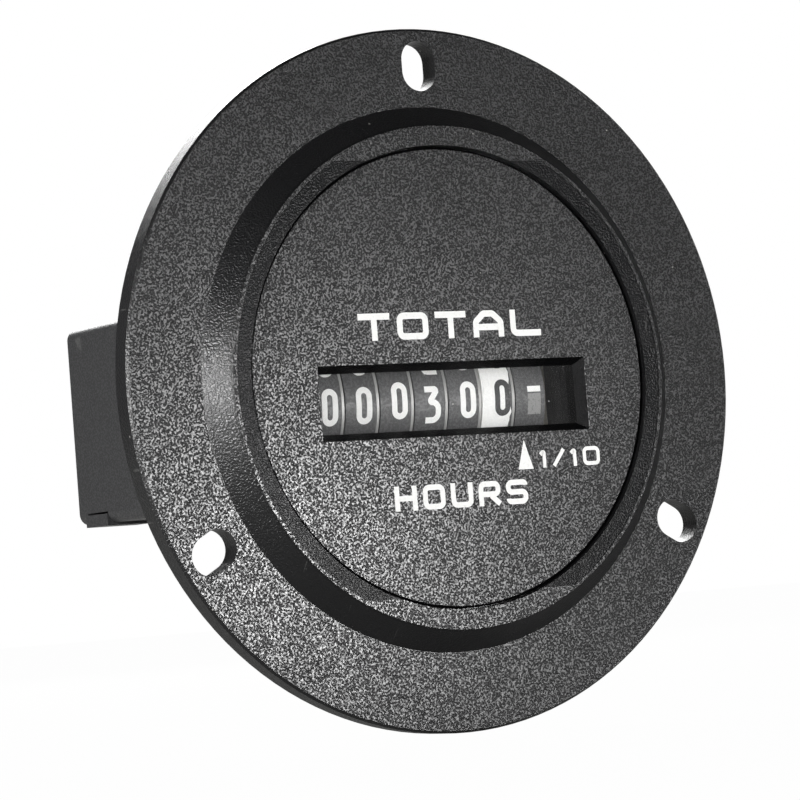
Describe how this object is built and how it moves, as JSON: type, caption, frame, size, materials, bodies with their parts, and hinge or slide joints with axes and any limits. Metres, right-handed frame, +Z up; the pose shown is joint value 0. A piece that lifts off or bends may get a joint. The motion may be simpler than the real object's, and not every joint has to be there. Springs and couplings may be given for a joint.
{
  "type": "hour meter",
  "caption": "Round flush-mount panel hour meter: textured bezel with radial screw slots, window over geared number wheels, box case behind and spade terminals.",
  "frame": {"origin": "centre of the bezel's rear face, which lies on the panel", "axes": "the face looks along -Y, the case runs along +Y, +X is to the viewer's right and +Z is up"},
  "size_m": [0.072, 0.0518, 0.072],
  "materials": {
    "bezel_plastic": "moulded black plastic with a fine leather-like grain",
    "face_plastic": "moulded black plastic with a fine grain",
    "clear_lens": "clear moulded plastic",
    "case_plastic": "smooth moulded dark grey plastic",
    "terminal_metal": "tinned brass strip",
    "frame_plastic": "natural moulded plastic",
    "steel": "bright drawn steel",
    "wheel_dark": "dark grey moulded plastic",
    "wheel_light": "white moulded plastic",
    "gear_plastic": "natural moulded plastic",
    "magnet": "sintered magnet",
    "motor_iron": "soft iron sheet",
    "bobbin_plastic": "moulded plastic",
    "copper": "enamelled copper wire",
    "board": "lacquered laminate",
    "chip_black": "moulded epoxy",
    "crystal_can": "nickelled can",
    "capacitor_sleeve": "shrunk sleeve",
    "resistor_body": "lacquered body"
  },
  "bodies": {
    "housing": {"mounting_bezel": "bezel_plastic", "face_plate": "face_plastic", "window_lens": "clear_lens", "case_body": "case_plastic", "rear_cover": "case_plastic", "terminal_positive": "terminal_metal", "terminal_negative": "terminal_metal", "counter_frame": "frame_plastic", "frame_screws": "steel", "wheel_shaft": "steel", "carrier_thousands": "steel", "carrier_hundreds": "steel", "carrier_tens": "steel", "carrier_units": "steel", "carrier_tenths": "steel", "carrier_run": "steel", "gear_bridge": "frame_plastic", "stator": "motor_iron", "coil_core": "motor_iron", "coil_bobbin": "bobbin_plastic", "coil_winding": "copper", "coil_leads": "copper", "core_screws": "steel", "circuit_board": "board", "driver_chip": "chip_black", "quartz_crystal": "crystal_can", "filter_capacitor": "capacitor_sleeve", "rectifier_diode": "chip_black", "dropping_resistor": "resistor_body"},
    "wheel_ten_thousands": {"wheel_ten_thousands": "wheel_dark"},
    "wheel_thousands": {"wheel_thousands": "wheel_dark"},
    "wheel_hundreds": {"wheel_hundreds": "wheel_dark"},
    "wheel_tens": {"wheel_tens": "wheel_dark"},
    "wheel_units": {"wheel_units": "wheel_dark"},
    "wheel_tenths": {"wheel_tenths": "wheel_light"},
    "run_wheel": {"run_wheel": "wheel_dark"},
    "pinion_thousands": {"pinion_thousands": "gear_plastic"},
    "pinion_hundreds": {"pinion_hundreds": "gear_plastic"},
    "pinion_tens": {"pinion_tens": "gear_plastic"},
    "pinion_units": {"pinion_units": "gear_plastic"},
    "pinion_tenths": {"pinion_tenths": "gear_plastic"},
    "pinion_run": {"pinion_run": "gear_plastic"},
    "second_gear": {"second_gear": "gear_plastic"},
    "first_gear": {"first_gear": "gear_plastic"},
    "rotor": {"rotor_pinion": "gear_plastic", "rotor_magnet": "magnet"}
  },
  "joints": [
    {"name": "wheel_ten_thousands_spin", "type": "hinge", "parent": "housing", "child": "wheel_ten_thousands", "pos_m": [0, 0.00635, -0.00178], "axis": [-1, 0, 0], "continuous": true},
    {"name": "wheel_thousands_spin", "type": "hinge", "parent": "housing", "child": "wheel_thousands", "pos_m": [0, 0.00635, -0.00178], "axis": [-1, 0, 0], "continuous": true},
    {"name": "wheel_hundreds_spin", "type": "hinge", "parent": "housing", "child": "wheel_hundreds", "pos_m": [0, 0.00635, -0.00178], "axis": [-1, 0, 0], "continuous": true},
    {"name": "wheel_tens_spin", "type": "hinge", "parent": "housing", "child": "wheel_tens", "pos_m": [0, 0.00635, -0.00178], "axis": [-1, 0, 0], "continuous": true},
    {"name": "wheel_units_spin", "type": "hinge", "parent": "housing", "child": "wheel_units", "pos_m": [0, 0.00635, -0.00178], "axis": [-1, 0, 0], "continuous": true},
    {"name": "wheel_tenths_spin", "type": "hinge", "parent": "housing", "child": "wheel_tenths", "pos_m": [0, 0.00635, -0.00178], "axis": [-1, 0, 0], "continuous": true},
    {"name": "run_wheel_spin", "type": "hinge", "parent": "housing", "child": "run_wheel", "pos_m": [0, 0.00635, -0.00178], "axis": [-1, 0, 0], "continuous": true},
    {"name": "pinion_thousands_spin", "type": "hinge", "parent": "housing", "child": "pinion_thousands", "pos_m": [0, 0.00985, -0.00178], "axis": [-1, 0, 0], "continuous": true},
    {"name": "pinion_hundreds_spin", "type": "hinge", "parent": "housing", "child": "pinion_hundreds", "pos_m": [0, 0.00985, -0.00178], "axis": [-1, 0, 0], "continuous": true},
    {"name": "pinion_tens_spin", "type": "hinge", "parent": "housing", "child": "pinion_tens", "pos_m": [0, 0.00985, -0.00178], "axis": [-1, 0, 0], "continuous": true},
    {"name": "pinion_units_spin", "type": "hinge", "parent": "housing", "child": "pinion_units", "pos_m": [0, 0.00985, -0.00178], "axis": [-1, 0, 0], "continuous": true},
    {"name": "pinion_tenths_spin", "type": "hinge", "parent": "housing", "child": "pinion_tenths", "pos_m": [0, 0.00985, -0.00178], "axis": [-1, 0, 0], "continuous": true},
    {"name": "pinion_run_spin", "type": "hinge", "parent": "housing", "child": "pinion_run", "pos_m": [0, 0.00985, -0.00178], "axis": [-1, 0, 0], "continuous": true},
    {"name": "second_gear_spin", "type": "hinge", "parent": "housing", "child": "second_gear", "pos_m": [0, 0.01348, 0.00185], "axis": [-1, 0, 0], "continuous": true},
    {"name": "first_gear_spin", "type": "hinge", "parent": "housing", "child": "first_gear", "pos_m": [0, 0.01971, -0.00175], "axis": [-1, 0, 0], "continuous": true},
    {"name": "rotor_spin", "type": "hinge", "parent": "housing", "child": "rotor", "pos_m": [0, 0.02669, -0.00236], "axis": [-1, 0, 0], "continuous": true}
  ],
  "couplings": [
    {"joint": "wheel_ten_thousands_spin", "follows": "run_wheel_spin", "ratio": 0.000001},
    {"joint": "wheel_thousands_spin", "follows": "run_wheel_spin", "ratio": 0.00001},
    {"joint": "wheel_hundreds_spin", "follows": "run_wheel_spin", "ratio": 0.0001},
    {"joint": "wheel_tens_spin", "follows": "run_wheel_spin", "ratio": 0.001},
    {"joint": "wheel_units_spin", "follows": "run_wheel_spin", "ratio": 0.01},
    {"joint": "wheel_tenths_spin", "follows": "run_wheel_spin", "ratio": 0.1},
    {"joint": "pinion_thousands_spin", "follows": "run_wheel_spin", "ratio": 0.0000033333},
    {"joint": "pinion_hundreds_spin", "follows": "run_wheel_spin", "ratio": 0.000033333},
    {"joint": "pinion_tens_spin", "follows": "run_wheel_spin", "ratio": 0.00033333},
    {"joint": "pinion_units_spin", "follows": "run_wheel_spin", "ratio": 0.0033333},
    {"joint": "pinion_tenths_spin", "follows": "run_wheel_spin", "ratio": 0.033333},
    {"joint": "pinion_run_spin", "follows": "run_wheel_spin", "ratio": 0.33333},
    {"joint": "second_gear_spin", "follows": "run_wheel_spin", "ratio": -3},
    {"joint": "first_gear_spin", "follows": "run_wheel_spin", "ratio": 15},
    {"joint": "rotor_spin", "follows": "run_wheel_spin", "ratio": -90}
  ]
}
